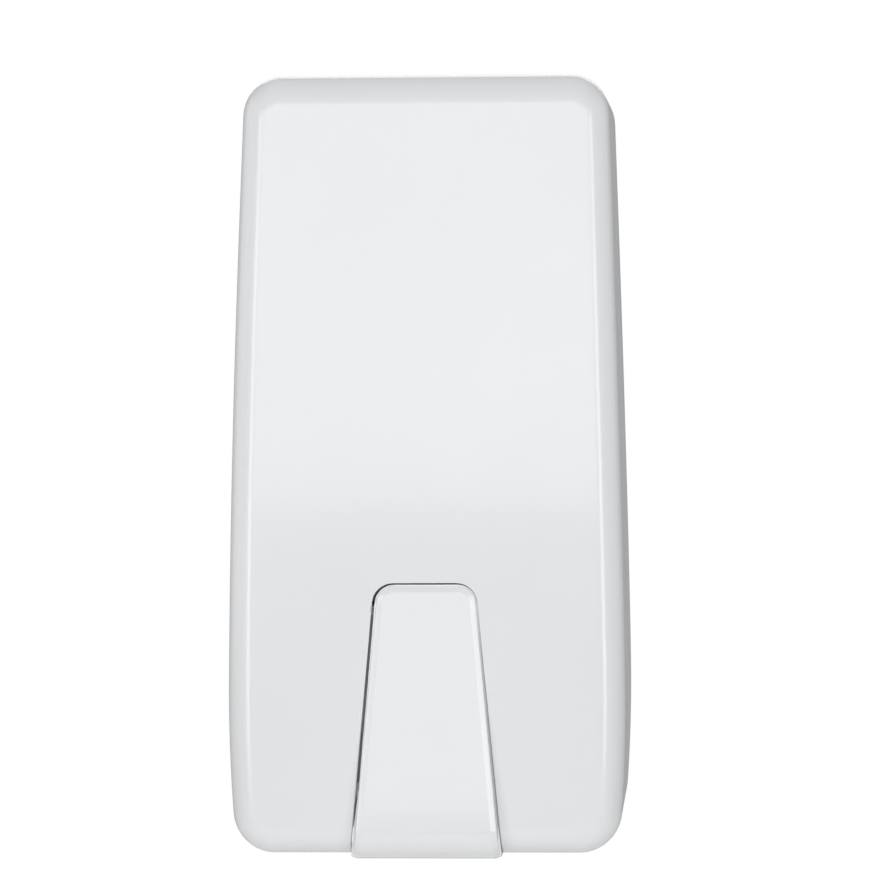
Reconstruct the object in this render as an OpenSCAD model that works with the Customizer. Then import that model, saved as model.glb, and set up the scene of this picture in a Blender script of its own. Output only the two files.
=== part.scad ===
// Wall mounted soap dispenser with a push lever, a hinged cover and a refillable reservoir.
// The wall is the plane y = 0, the front faces -Y and +Z is up. The origin is the centre of the
// wall screw pattern. Heights in this file are measured from the bottom of the cover.

/* [Cover] */
// Widest width of the cover
body_w = 120; // [105:1:150]
// Height of the cover
body_h = 235; // [200:1:290]
// Depth from the wall to the front face
body_d = 109; // [100:1:135]
// Wall thickness of the cover
wall = 2.5; // [2:0.1:3.5]
// Radius along the cover's edges
edge_r = 8; // [6:0.5:10]
// Radius of the two top corners
top_corner_r = 12; // [11:0.5:16]
// Radius of the two bottom corners
bottom_corner_r = 12; // [11:0.5:16]
// Height at which the cover is widest
belly_z = 47; // [35:1:60]
// How far each side comes in at the top
top_in = 4.8; // [0:0.1:6]
// How far each side comes in at the bottom
bottom_in = 2.2; // [0:0.1:3]
// Height at which the front face starts to lean back
lean_z = 90; // [85:1:120]
// Height over which the front face bends into its lean
lean_h = 95; // [60:1:110]
// Lean of the upper front face
lean_angle = 8; // [0:0.5:10]
// Gap between the cover's rim and the wall
rim_gap = 1.5; // [1:0.1:3]

/* [Cover hinge] */
// Height of the hinge axis
hinge_z = 13; // [12:0.5:18]
// Diameter of the hinge pins
hinge_pin_d = 5; // [4:0.1:6]
// Width of each hinge ear and each hinge boss
hinge_ear_w = 5; // [4:0.5:8]
// Radius of the ears and bosses around the pins
hinge_ear_r = 6; // [5:0.1:7]

/* [Push lever] */
// Width of the push lever at its top
lever_top_w = 30; // [24:1:40]
// Width of the push lever at its bottom
lever_bottom_w = 44; // [36:1:56]
// Height of the push lever's top edge
lever_h = 81; // [79:0.5:84]
// Radius of the push lever's top corners
lever_corner_r = 5.5; // [3:0.5:8]
// How far the lever's bottom stands out from the front face
lever_out = 5; // [2:0.5:8]
// How far the lever reaches below the cover
lever_drop = 1.2; // [0:0.1:1.5]
// Wall thickness of the push lever
lever_wall = 2.2; // [1.8:0.1:3]
// Gap between the lever and its slot
lever_gap = 0.9; // [0.6:0.1:1.5]
// Radius of the lever's lower front edge
lever_nose_r = 9; // [6:0.5:12]
// Depth of the lever from the front face of the cover
lever_depth = 11; // [8:0.5:14]
// Diameter of the lever's pivot pin
lever_pin_d = 4; // [3:0.1:5]
// Thickness of each arm of the lift fork
fork_arm_w = 3; // [2:0.5:4]

/* [Pump] */
// Distance of the pump's axis from the wall
pump_reach = 55; // [50:1:60]
// Stroke of the piston
stroke = 12; // [10:0.5:13]
// Diameter of the piston stem
stem_d = 7; // [6:0.1:8]
// Diameter of the soap channel in the stem
channel_d = 4; // [3:0.1:5]
// Radius of the collar that the fork lifts
collar_r = 16; // [14:0.5:18]
// Diameter of the chamber's bore
chamber_d = 11; // [10:0.1:13]
// Wall thickness of the pump chamber
chamber_wall = 2; // [1.5:0.1:2.5]
// Diameter of the spring's wire
wire_d = 0.8; // [0.6:0.1:1]
// Turns of the spring
spring_turns = 6; // [4:1:7]
// Diameter of the nozzle tip
nozzle_d = 10; // [9:0.5:12]

/* [Reservoir] */
// Width of the reservoir
tank_w = 104; // [80:1:106]
// Wall thickness of the reservoir
tank_wall = 1.8; // [1.2:0.1:2.5]
// Radius of the reservoir's upright edges
tank_corner_r = 12; // [6:1:16]
// Height of the shelf that carries the reservoir
shelf_z = 83; // [83:0.5:86]
// Thickness of the shelf
shelf_t = 3; // [2.5:0.1:4]
// Outer radius of the reservoir's neck
neck_r = 16; // [15:0.5:18]
// Wall thickness of the neck
neck_wall = 2.5; // [2:0.1:3]
// Outer radius of the filler opening
filler_r = 20; // [16:1:24]

/* [Lock] */
// Distance of the lock's axis from the wall
lock_reach = 30; // [26:1:36]
// Diameter of the lock's barrel
barrel_d = 11; // [9:0.5:12]
// Length of the lock's blade from its axis
blade_len = 15.5; // [14:0.5:18]
// Width of the lock's blade
blade_w = 8; // [6:0.5:9]

/* [Wall mounting] */
// Distance between the wall screws across
screw_x = 70; // [60:1:76]
// Distance between the wall screws up and down
screw_z = 140; // [136:1:150]
// Diameter of the wall screw holes
screw_hole_d = 5; // [4:0.1:6]
// Thickness of the back plate
plate_t = 3; // [2.5:0.1:4]
// Depth of the back plate's rim
plate_rim = 10; // [8:0.5:12]

/* [Fits] */
// Radial clearance of a pin or stem that turns or slides
run_gap = 0.05; // [0.03:0.01:0.08]
// Gap between the cover and the back plate's rim
plate_gap = 1.2; // [1:0.1:2]
// Gap between parts that pass each other
side_gap = 0.5; // [0.4:0.1:1]

/* [Hidden] */
$fn = 48;

white = [0.93, 0.93, 0.91];
grey = [0.62, 0.64, 0.66];
steel = [0.72, 0.73, 0.75];
rubber = [0.16, 0.16, 0.17];
clear = [0.82, 0.9, 0.95, 0.5];

// Cover hinge: the rear lower edge of the cover is round about this axis
hinge_y = -hinge_z - rim_gap;
hinge_pin_r = hinge_pin_d / 2;
boss_x1 = body_w / 2 - 3;
boss_x0 = boss_x1 - hinge_ear_w - 2.5;
ear_x1 = boss_x0 - side_gap;
ear_x0 = ear_x1 - hinge_ear_w;
sill_y = 2 * hinge_y;
sill_gap = 9;

// Push lever
lever_pivot_y = -body_d + 9;
lever_pivot_z = lever_h - 7;
lever_pin_r = lever_pin_d / 2;
lever_hub_r = 5;
lever_hub_x = lever_top_w / 2 - 0.5;
cover_ear_x0 = lever_top_w / 2 + 2;
cover_ear_x1 = cover_ear_x0 + 3.5;
pin_clip_t = 1;
lever_pin_x = cover_ear_x1 + pin_clip_t + 1.5;
bottom_open_x = lever_bottom_w / 2 + 10;
stop_z = 17;
stop_h = 5;

// Pump: heights along its axis
pump_y = -pump_reach;
stem_r = stem_d / 2;
channel_r = channel_d / 2;
bore_r = chamber_d / 2;
chamber_r = bore_r + chamber_wall;
cap_floor_z = shelf_z - 13;
cap_floor_t = 2.5;
flange_z = cap_floor_z + cap_floor_t;
flange_t = 2;
gasket_t = 1;
neck_z = flange_z + flange_t + gasket_t;
guide_top_z = flange_z + 4;
seal_z = guide_top_z + 2.5;
seal_h = 4;
head_z = seal_z + seal_h;
head_t = 1;
spring_room = 6;
roof_z = head_z + head_t + stroke + spring_room;
roof_t = 2.5;
fork_nose_z = cap_floor_z - 20;
fork_nose_r = 3;
fork_nose_y = pump_y - 2.3;
fork_in = stem_r + 4.5;
fork_out = fork_in + fork_arm_w;
lift_gap = 0.25;
collar_z = fork_nose_z + fork_nose_r + lift_gap;
collar_t = 3;
nozzle_z = 4;
nozzle_h = 12;
stem_z = nozzle_z + 8;

// Reservoir: its top is as high as the lock's path over it allows
tank_z = shelf_z + shelf_t;
tank_y1 = -plate_t - 7;
tank_y0 = -body_d + 15;
lock_room = 17;
sweep_r = body_h - lock_room - hinge_z - 1.8;
tank_top = hinge_z + sqrt(pow(sweep_r, 2) - pow(tank_y0 - hinge_y, 2));
tank_mid_y = (tank_y0 + tank_y1) / 2;
cap_r = neck_r + 4;
cap_flange_r = cap_r + 3;
neck_gap = 0.3;
filler_wall = 2;
filler_h = 1.2;
seal_t = 0.8;
lid_t = 2;

// Lock
lock_y = -lock_reach;
barrel_r = barrel_d / 2;
barrel_head_r = barrel_r + 1;
barrel_head_t = 1.5;
housing_r = barrel_r + 2.5;
housing_head_r = housing_r + 2;
housing_head_t = 1.2;
lock_pad_r = housing_r + 5;
lock_pad_t = 3;
housing_z = body_h - 10.7;
blade_z = housing_z - 0.3 - 2;
blade_t = 2;
nut_t = 3;
keeper_x = blade_len + 2;
keeper_t = 2.5;
keeper_lip_y = lock_y - blade_w / 2 - 1.5;

// Screws inside the dispenser
small_screw_r = 1.75;
small_head_r = 3;
small_head_t = 2;
shelf_screw_x = 30;
shelf_flange_h = 25;
keeper_screw_x = [keeper_x - 1, keeper_x + 6.3];
keeper_screw_z = body_h - 26;
fork_screw_z = [lever_pivot_z - 13, lever_pivot_z - 27];

// Width and front face of the cover at a height
function half_w(z) = body_w / 2 - (z > belly_z
    ? top_in * pow((z - belly_z) / (body_h - belly_z), 1.3)
    : bottom_in * pow((belly_z - z) / belly_z, 2));
lean_r = lean_h / sin(max(lean_angle, 0.1));
function front_in(z) = z < lean_z ? 0 : z < lean_z + lean_h
    ? lean_r - sqrt(pow(lean_r, 2) - pow(z - lean_z, 2))
    : lean_r * (1 - cos(lean_angle)) + (z - lean_z - lean_h) * tan(lean_angle);
function front_y(z) = -body_d + front_in(z);

function arc(cx, cz, r, a0, a1, n) = [
    for (i = [0 : n]) let (a = a0 + (a1 - a0) * i / n) [cx + r * cos(a), cz + r * sin(a)]
];

function mirrored(points) = [for (i = [len(points) - 1 : -1 : 0]) [-points[i][0], points[i][1]]];

// Right half of the cover's outline from the bottom to the top, moved in by inset
side_heights = [for (i = [1 : 5])
    bottom_corner_r + (body_h - top_corner_r - bottom_corner_r) * i / 6];
function side_outline(inset, n) = concat(
    arc(half_w(bottom_corner_r) - bottom_corner_r, bottom_corner_r, bottom_corner_r - inset, -90, 0, n),
    [for (z = side_heights) [half_w(z) - inset, z]],
    arc(half_w(body_h - top_corner_r) - top_corner_r, body_h - top_corner_r,
        top_corner_r - inset, 0, 90, n));

// Right half of the lever's front outline, made wider by grow
function lever_side(grow) = concat(
    [[lever_bottom_w / 2 + grow, -lever_drop - grow]],
    arc(lever_top_w / 2 - lever_corner_r, lever_h - lever_corner_r, lever_corner_r + grow, 0, 90, 8));

// Front face of the lever at a height
function lever_front(z) = -body_d - lever_out * min(1, (lever_h - z) / (lever_h - lever_nose_r));

module at_base() {
    translate([0, 0, -body_h / 2]) children();
}

module box(x0, x1, y0, y1, z0, z1) {
    translate([x0, y0, z0]) cube([x1 - x0, y1 - y0, z1 - z0]);
}

// Rods along an axis, given by the two other coordinates
module rod_x(y, z, x0, x1, r) {
    translate([x0, y, z]) rotate([0, 90, 0]) cylinder(r = r, h = x1 - x0);
}

module rod_y(x, z, y0, y1, r) {
    translate([x, y1, z]) rotate([90, 0, 0]) cylinder(r = r, h = y1 - y0);
}

module rod_z(x, y, z0, z1, r) {
    translate([x, y, z0]) cylinder(r = r, h = z1 - z0);
}

module ring_z(x, y, z0, z1, r, hole_r) {
    difference() {
        rod_z(x, y, z0, z1, r);
        rod_z(x, y, z0 - 1, z1 + 1, hole_r);
    }
}

// A front outline of [x, z] points made solid from y0 to y1
module front_slab(y0, y1, points) {
    translate([0, y1, 0]) rotate([90, 0, 0]) linear_extrude(y1 - y0) polygon(points);
}

// A side profile of [y, z] points made solid from x0 to x1
module side_slab(x0, x1, points) {
    translate([x0, 0, 0]) rotate([90, 0, 90]) linear_extrude(x1 - x0) polygon(points);
}

module both_sides() {
    children();
    mirror([1, 0, 0]) children();
}

module round_rect(w, d, r) {
    square([w - 2 * r, d], center = true);
    square([w, d - 2 * r], center = true);
    for (x = [-1, 1], y = [-1, 1])
        translate([x * (w / 2 - r), y * (d / 2 - r)]) circle(r);
}

// ---- Wall unit ----

module back_plate() {
    outer = side_outline(wall + plate_gap, 5);
    inner = side_outline(wall + plate_gap + 2.2, 5);
    notch_z = 2 * hinge_z + 1;
    boss_r = screw_hole_d / 2 + 3.5;
    color(white) at_base() difference() {
        union() {
            difference() {
                union() {
                    front_slab(-plate_t, 0, concat(outer, mirrored(outer)));
                    difference() {
                        front_slab(-plate_rim, 0, concat(outer, mirrored(outer)));
                        front_slab(-plate_rim - 1, 1, concat(inner, mirrored(inner)));
                    }
                }
                both_sides() box(ear_x1, body_w, -body_d, 1, -1, notch_z);
                box(-body_w, body_w, -body_d, -plate_t, -1, notch_z);
            }
            box(-ear_x1, ear_x1, -plate_t, 0, 0, notch_z);
            box(-ear_x1, ear_x1, sill_y, 0, 0, wall);
            both_sides() {
                rod_x(hinge_y, hinge_z, ear_x0, ear_x1, hinge_ear_r);
                box(ear_x0, ear_x1, hinge_y, 0, 1, hinge_z + hinge_ear_r);
                box(41, 43, -plate_t - 4, -1, shelf_z + 9, body_h - 20);
            }
            for (z = [110, 150]) box(-42, 42, -plate_t - 3, -1, z - 1, z + 1);
            wall_screw_places() rod_y(0, 0, -plate_t - 2, 0, boss_r);
        }
        wall_screw_places() rod_y(0, 0, -plate_rim, 1, screw_hole_d / 2);
        both_sides() rod_x(hinge_y, hinge_z, ear_x0 - 1, ear_x1 + 1, hinge_pin_r);
        shelf_screw_places() rod_y(0, 0, -plate_t - 1, -0.6, small_screw_r);
        keeper_screw_places() rod_y(0, 0, -plate_t - 1, -0.6, small_screw_r);
    }
}

module wall_screw_places() {
    for (x = [-1, 1], z = [-1, 1])
        translate([x * screw_x / 2, 0, body_h / 2 + z * screw_z / 2]) children();
}

module shelf_screw_places() {
    for (x = [-1, 1], z = [6, 19]) translate([x * shelf_screw_x, 0, shelf_z - shelf_flange_h + z]) children();
}

module keeper_screw_places() {
    for (x = keeper_screw_x) translate([x, 0, keeper_screw_z]) children();
}

module hinge_pins() {
    color(steel) at_base() both_sides()
        rod_x(hinge_y, hinge_z, ear_x0 - side_gap, boss_x1 - 1.5, hinge_pin_r);
}

// Hook whose lip the lock's blade turns behind
module keeper() {
    z0 = blade_z - 6;
    z1 = blade_z + blade_t + 0.6;
    color(grey) at_base() difference() {
        union() {
            box(keeper_x - 5.5, keeper_x + 10.5, -plate_t - 3, -plate_t, keeper_screw_z - 5, z1);
            box(keeper_x, keeper_x + keeper_t, keeper_lip_y - keeper_t, -plate_t, z0, z1);
            box(keeper_x - 5.7, keeper_x + keeper_t, keeper_lip_y - keeper_t, keeper_lip_y, z0, z1);
        }
        keeper_screw_places() rod_y(0, 0, -plate_t - 4, 0, small_screw_r);
    }
}

module keeper_screws() {
    color(steel) at_base() keeper_screw_places() small_screw(-plate_t - 3);
}

// Screw that is driven towards the wall, with its head on the face at y
module small_screw(y) {
    difference() {
        union() {
            rod_y(0, 0, y, -0.8, small_screw_r);
            rod_y(0, 0, y - small_head_t, y, small_head_r);
        }
        for (a = [0, 90]) translate([0, y - small_head_t, 0]) rotate([0, a, 0])
            cube([3.6, 2, 0.7], center = true);
    }
}

module reservoir_shelf() {
    x1 = tank_w / 2 - 4;
    flange_z0 = shelf_z - shelf_flange_h;
    slot_r = cap_r + side_gap;
    color(white) at_base() difference() {
        union() {
            box(-x1, x1, tank_y0 + 6, -plate_t, shelf_z, tank_z);
            box(-x1, x1, -plate_t - 3, -plate_t, flange_z0, tank_z);
            both_sides() side_slab(38, 40.5, [
                [-plate_t - 1, flange_z0 + 2], [-plate_t - 1, shelf_z + 1],
                [-pump_reach - 8, shelf_z + 1], [-pump_reach - 8, shelf_z - 1]]);
        }
        rod_z(0, pump_y, shelf_z - 1, tank_z + 1, slot_r);
        box(-slot_r, slot_r, -body_d, pump_y, shelf_z - 1, tank_z + 1);
        shelf_screw_places() rod_y(0, 0, -plate_t - 4, 0, small_screw_r);
    }
}

module shelf_screws() {
    color(steel) at_base() shelf_screw_places() small_screw(-plate_t - 3);
}

// ---- Reservoir and pump ----

module reservoir() {
    depth = tank_y1 - tank_y0;
    color(clear) at_base() difference() {
        union() {
            translate([0, tank_mid_y, tank_z])
                linear_extrude(tank_top - tank_z) round_rect(tank_w, depth, tank_corner_r);
            rod_z(0, pump_y, neck_z, tank_z + 1, neck_r);
            rod_z(0, tank_mid_y, tank_top - 1, tank_top + filler_h, filler_r);
        }
        translate([0, tank_mid_y, tank_z + tank_wall])
            linear_extrude(tank_top - tank_z - 2 * tank_wall)
                round_rect(tank_w - 2 * tank_wall, depth - 2 * tank_wall, tank_corner_r - tank_wall);
        rod_z(0, pump_y, neck_z - 1, tank_z + tank_wall + 1, neck_r - neck_wall);
        rod_z(0, tank_mid_y, tank_top - tank_wall - 1, tank_top + 3, filler_r - filler_wall);
    }
}

module reservoir_lid() {
    z0 = tank_top + 0.3;
    z1 = tank_top + filler_h + seal_t;
    color(grey) at_base() difference() {
        rod_z(0, tank_mid_y, z0, z1 + lid_t, filler_r + 2);
        rod_z(0, tank_mid_y, z0 - 1, z1, filler_r + 0.2);
        rod_z(12, tank_mid_y, z1 - 1, z1 + lid_t + 1, 0.75);
    }
}

module lid_seal() {
    z0 = tank_top + filler_h;
    color(rubber) at_base() ring_z(0, tank_mid_y, z0, z0 + seal_t, filler_r, filler_r - filler_wall);
}

// The cap's flange hooks under the shelf and keeps the reservoir down
module neck_cap() {
    color(white) at_base() difference() {
        union() {
            rod_z(0, pump_y, cap_floor_z, shelf_z - 0.2, cap_flange_r);
            rod_z(0, pump_y, cap_floor_z, shelf_z + 1, cap_r);
        }
        rod_z(0, pump_y, flange_z, shelf_z + 2, neck_r + neck_gap);
        rod_z(0, pump_y, cap_floor_z - 1, flange_z + 1, chamber_r + 1.5);
    }
}

module neck_gasket() {
    color(rubber) at_base()
        ring_z(0, pump_y, flange_z + flange_t, neck_z, neck_r, neck_r - neck_wall);
}

module pump_body() {
    color(white) at_base() difference() {
        union() {
            rod_z(0, pump_y, flange_z, flange_z + flange_t, neck_r);
            rod_z(0, pump_y, flange_z, roof_z + roof_t, chamber_r);
        }
        rod_z(0, pump_y, flange_z - 1, roof_z, bore_r);
        rod_z(0, pump_y, roof_z - 1, roof_z + roof_t + 1, 1);
        for (a = [45 : 90 : 315]) translate([0, pump_y, 0]) rotate([0, 0, a])
            rod_z(2.6, 0, roof_z - 1, roof_z + roof_t + 1, 0.9);
    }
}

// Rubber valve that lets soap down into the chamber
module inlet_valve() {
    color(rubber) at_base() union() {
        rod_z(0, pump_y, roof_z - 0.8, roof_z, 3.6);
        rod_z(0, pump_y, roof_z - 0.8, roof_z + roof_t + 1.5, 1);
        rod_z(0, pump_y, roof_z + roof_t, roof_z + roof_t + 1.5, 1.6);
    }
}

module stem_guide() {
    color(grey) at_base() difference() {
        union() {
            rod_z(0, pump_y, flange_z - 1.5, flange_z, chamber_r + 1);
            rod_z(0, pump_y, flange_z - 1.5, guide_top_z, bore_r);
        }
        rod_z(0, pump_y, cap_floor_z - 1, guide_top_z + 1, stem_r + run_gap);
    }
}

// Coil spring between the piston's head and the chamber's roof
module pump_spring() {
    sides = 8;
    steps = 12;
    rings = spring_turns * steps;
    coil_r = bore_r - wire_d / 2 - 0.7;
    z0 = head_z + head_t + wire_d / 2 + run_gap;
    rise = roof_z - head_z - head_t - wire_d - 2 * run_gap;
    slope = atan(rise / (spring_turns * 2 * PI * coil_r));
    function ring(i) = let (a = 360 * i / steps) [
        for (j = [0 : sides - 1]) let (
            b = 360 * j / sides,
            out = wire_d / 2 * cos(b),
            up = wire_d / 2 * sin(b)
        ) [
            (coil_r + out) * cos(a) + up * sin(slope) * sin(a),
            (coil_r + out) * sin(a) - up * sin(slope) * cos(a),
            z0 + rise * i / rings + up * cos(slope)
        ]
    ];
    points = [for (i = [0 : rings], p = ring(i)) p];
    skin = [for (i = [0 : rings - 1], j = [0 : sides - 1]) let (k = (j + 1) % sides)
        [i * sides + j, (i + 1) * sides + j, (i + 1) * sides + k, i * sides + k]];
    first = [for (j = [0 : sides - 1]) j];
    last = [for (j = [sides - 1 : -1 : 0]) rings * sides + j];
    color(steel) at_base() translate([0, pump_y, 0])
        polyhedron(points, concat(skin, [first, last]), convexity = 6);
}

// Hollow stem with the collar that the fork lifts and the head that carries the seal
module piston_stem() {
    neck = stem_r - 0.5;
    color(white) at_base() difference() {
        union() {
            rod_z(0, pump_y, stem_z, seal_z, stem_r);
            rod_z(0, pump_y, seal_z - 1, head_z + head_t, neck);
            rod_z(0, pump_y, head_z, head_z + head_t, bore_r - 0.6);
            rod_z(0, pump_y, collar_z, collar_z + collar_t, collar_r);
        }
        rod_z(0, pump_y, stem_z - 1, head_z + head_t + 1, channel_r);
    }
}

module piston_seal() {
    color(rubber) at_base() ring_z(0, pump_y, seal_z, head_z, bore_r - run_gap, stem_r - 0.5);
}

module outlet_valve() {
    color(rubber) at_base() difference() {
        union() {
            rod_z(0, pump_y, stem_z - 1.8, stem_z, stem_r - 0.1);
            translate([0, pump_y, stem_z - 4.6]) cylinder(r1 = 1.2, r2 = 2.2, h = 2.8);
        }
        rod_z(0, pump_y, stem_z - 4, stem_z + 1, 1);
        box(-1, 1, pump_y - 0.15, pump_y + 0.15, stem_z - 6, stem_z - 3);
    }
}

module nozzle_tip() {
    color(grey) at_base() difference() {
        rod_z(0, pump_y, nozzle_z, nozzle_z + nozzle_h, nozzle_d / 2);
        rod_z(0, pump_y, stem_z - 1.8, nozzle_z + nozzle_h + 1, stem_r);
        rod_z(0, pump_y, nozzle_z - 1, stem_z, channel_r + 0.5);
    }
}

// ---- Cover ----

// Solid form of the cover with its edges rounded by r
module cover_form(r) {
    hull() for (p = side_outline(edge_r, 2), side = [-1, 1], y = [front_y(p[1]) + edge_r, edge_r])
        translate([side * p[0], y, p[1]]) sphere(r, $fn = 32);
}

module cover() {
    slot = lever_side(lever_gap);
    inner_front = -body_d + wall;
    lock_top = body_h - wall - lock_pad_t;
    color(white) at_base() difference() {
        union() {
            difference() {
                cover_form(edge_r);
                cover_form(edge_r - wall);
                front_slab(-body_d - 1, -body_d + edge_r + 1, concat(slot, mirrored(slot)));
                box(-bottom_open_x, bottom_open_x, -body_d + edge_r + 0.5, 1, -1, edge_r);
                box(-boss_x0, boss_x0, sill_y - sill_gap, 1, -1, hinge_z + 8);
            }
            both_sides() {
                rod_x(hinge_y, hinge_z, boss_x0, boss_x1, hinge_ear_r);
                lever_ear();
            }
            rod_z(0, lock_y, lock_top, body_h - wall + 0.5, lock_pad_r);
        }
        box(-body_w, body_w, -rim_gap, body_w, -body_h, 2 * body_h);
        difference() {
            box(-body_w, body_w, hinge_y, body_w, -body_h, hinge_z);
            rod_x(hinge_y, hinge_z, -2 * body_w, 2 * body_w, hinge_z);
        }
        both_sides() rod_x(hinge_y, hinge_z, boss_x0 - 1, boss_x1 - 1, hinge_pin_r + run_gap);
        rod_x(lever_pivot_y, lever_pivot_z, -body_w / 4, body_w / 4, lever_pin_r);
        rod_z(0, lock_y, lock_top - 1, body_h + 1, housing_r);
        rod_z(0, lock_y, body_h - housing_head_t, body_h + 1, housing_head_r);
    }
}

// Ear inside the front wall that carries the lever's pin
module lever_ear() {
    rod_x(lever_pivot_y, lever_pivot_z, cover_ear_x0, cover_ear_x1, lever_hub_r);
    box(cover_ear_x0, cover_ear_x1, -body_d + wall - 1, lever_pivot_y,
        lever_pivot_z - lever_hub_r, lever_pivot_z + lever_hub_r);
}

module lever_pin() {
    color(steel) at_base()
        rod_x(lever_pivot_y, lever_pivot_z, -lever_pin_x, lever_pin_x, lever_pin_r);
}

module pin_clips() {
    x0 = cover_ear_x1 + 0.1;
    color(steel) at_base() both_sides() difference() {
        rod_x(lever_pivot_y, lever_pivot_z, x0, x0 + pin_clip_t, lever_pin_r + 2);
        rod_x(lever_pivot_y, lever_pivot_z, x0 - 1, x0 + 2, lever_pin_r);
        box(x0 - 1, x0 + 2, lever_pivot_y, lever_pivot_y + 9, lever_pivot_z - 1.4, lever_pivot_z + 1.4);
    }
}

module lock_housing() {
    color(steel) at_base() difference() {
        union() {
            rod_z(0, lock_y, housing_z, body_h, housing_r);
            rod_z(0, lock_y, body_h - housing_head_t, body_h, housing_head_r);
        }
        rod_z(0, lock_y, housing_z - 1, body_h + 1, barrel_r + run_gap);
        rod_z(0, lock_y, body_h - barrel_head_t, body_h + 1, barrel_head_r + run_gap);
    }
}

module lock_nut() {
    z1 = body_h - wall - lock_pad_t;
    color(steel) at_base() difference() {
        translate([0, lock_y, z1 - nut_t]) cylinder(r = housing_r + 2.5, h = nut_t, $fn = 6);
        rod_z(0, lock_y, z1 - nut_t - 1, z1 + 1, housing_r);
    }
}

// ---- Push lever ----

// Side profile of the lever, moved in by inset, from its rear edge round its nose
function lever_profile(inset) = concat(
    [[-body_d + lever_depth + (inset > 0 ? 5 : 0), -lever_drop + inset]],
    arc(-body_d - lever_out + lever_nose_r, lever_nose_r - lever_drop, lever_nose_r - inset, -90, -180, 10),
    [[lever_front(lever_h) + inset, lever_h - inset],
     [-body_d + lever_depth + (inset > 0 ? 5 : 0), lever_h - inset]]);

module push_lever() {
    outer = lever_side(0);
    inner = lever_side(-lever_wall);
    color(white) at_base() difference() {
        union() {
            difference() {
                intersection() {
                    side_slab(-body_w / 2, body_w / 2, lever_profile(0));
                    front_slab(-body_d - 20, 0, concat(outer, mirrored(outer)));
                }
                intersection() {
                    side_slab(-body_w / 2, body_w / 2, lever_profile(lever_wall));
                    front_slab(-body_d - 20, 0, concat(inner, mirrored(inner)));
                }
            }
            both_sides() {
                rod_x(lever_pivot_y, lever_pivot_z, lever_hub_x - 3, lever_hub_x, lever_hub_r);
                lever_stop();
            }
            for (z = fork_screw_z) rod_y(0, z, lever_front(z) + 1, -body_d + 5, small_head_r);
        }
        rod_x(lever_pivot_y, lever_pivot_z, -body_w / 4, body_w / 4, lever_pin_r + run_gap);
        for (z = fork_screw_z) rod_y(0, z, -body_d - 1, 0, small_screw_r - 0.5);
    }
}

// Tab that rests behind the cover's front wall when the lever is released
module lever_stop() {
    x1 = lever_bottom_w / 2 + lever_gap + 2;
    y0 = -body_d + wall + 0.4;
    box(lever_bottom_w / 2 - lever_wall - 1.5, x1, y0, y0 + 2.5, stop_z, stop_z + stop_h);
}

// Fork that reaches back from the lever and lifts the piston's collar
module lift_fork() {
    y0 = -body_d + 5;
    y1 = y0 + 3;
    z0 = fork_nose_z - 6;
    top = fork_nose_z + fork_nose_r;
    color(grey) at_base() difference() {
        union() {
            box(-fork_out, fork_out, y0, y1, z0, lever_pivot_z - 8);
            both_sides() {
                side_slab(fork_in, fork_out, [
                    [y0, z0], [y0, top], [fork_nose_y, top], [fork_nose_y, top - 2 * fork_nose_r]]);
                rod_x(fork_nose_y, fork_nose_z, fork_in, fork_out, fork_nose_r);
            }
        }
        for (z = fork_screw_z) rod_y(0, z, y0 - 1, y1 + 1, small_screw_r - 0.5);
    }
}

module fork_screws() {
    y = -body_d + 8;
    color(steel) at_base() for (z = fork_screw_z) difference() {
        union() {
            rod_y(0, z, -body_d - 0.7, y, small_screw_r - 0.5);
            rod_y(0, z, y, y + 1.8, small_head_r - 0.4);
        }
        for (a = [0, 90]) translate([0, y + 1.8, z]) rotate([0, a, 0])
            cube([3, 2, 0.6], center = true);
    }
}

// ---- Lock ----

module lock_barrel() {
    color(steel) at_base() difference() {
        union() {
            rod_z(0, lock_y, blade_z + blade_t, body_h, barrel_r);
            rod_z(0, lock_y, body_h - barrel_head_t + 0.05, body_h, barrel_head_r);
            rod_z(0, lock_y, blade_z, body_h - 1, 3);
        }
        rod_z(0, lock_y, blade_z - 1, blade_z + 5, 1.5);
        box(-0.8, 0.8, lock_y - 4, lock_y + 4, body_h - 6, body_h + 1);
    }
}

// Blade that points to the wall when the cover is unlocked
module lock_cam() {
    color(steel) at_base() difference() {
        union() {
            rod_z(0, lock_y, blade_z, blade_z + blade_t, blade_w / 2 + 1);
            box(-blade_w / 2, blade_w / 2, lock_y, lock_y + blade_len, blade_z, blade_z + blade_t);
        }
        rod_z(0, lock_y, blade_z - 1, blade_z + blade_t + 1, 3);
    }
}

module cam_screw() {
    color(steel) at_base() difference() {
        union() {
            rod_z(0, lock_y, blade_z - 2, blade_z, 4);
            rod_z(0, lock_y, blade_z - 2, blade_z + 4.5, 1.5);
        }
        box(-2.8, 2.8, lock_y - 0.4, lock_y + 0.4, blade_z - 3, blade_z - 1.1);
    }
}

back_plate();
hinge_pins();
keeper();
keeper_screws();
reservoir_shelf();
shelf_screws();
reservoir();
reservoir_lid();
lid_seal();
neck_cap();
neck_gasket();
pump_body();
inlet_valve();
stem_guide();
pump_spring();
piston_stem();
piston_seal();
outlet_valve();
nozzle_tip();
cover();
lever_pin();
pin_clips();
lock_housing();
lock_nut();
push_lever();
lift_fork();
fork_screws();
lock_barrel();
lock_cam();
cam_screw();
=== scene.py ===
from math import atan2, cos, pi, radians, sin, sqrt, tan

import bmesh
import bpy
from mathutils import Matrix, Quaternion, Vector


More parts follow.
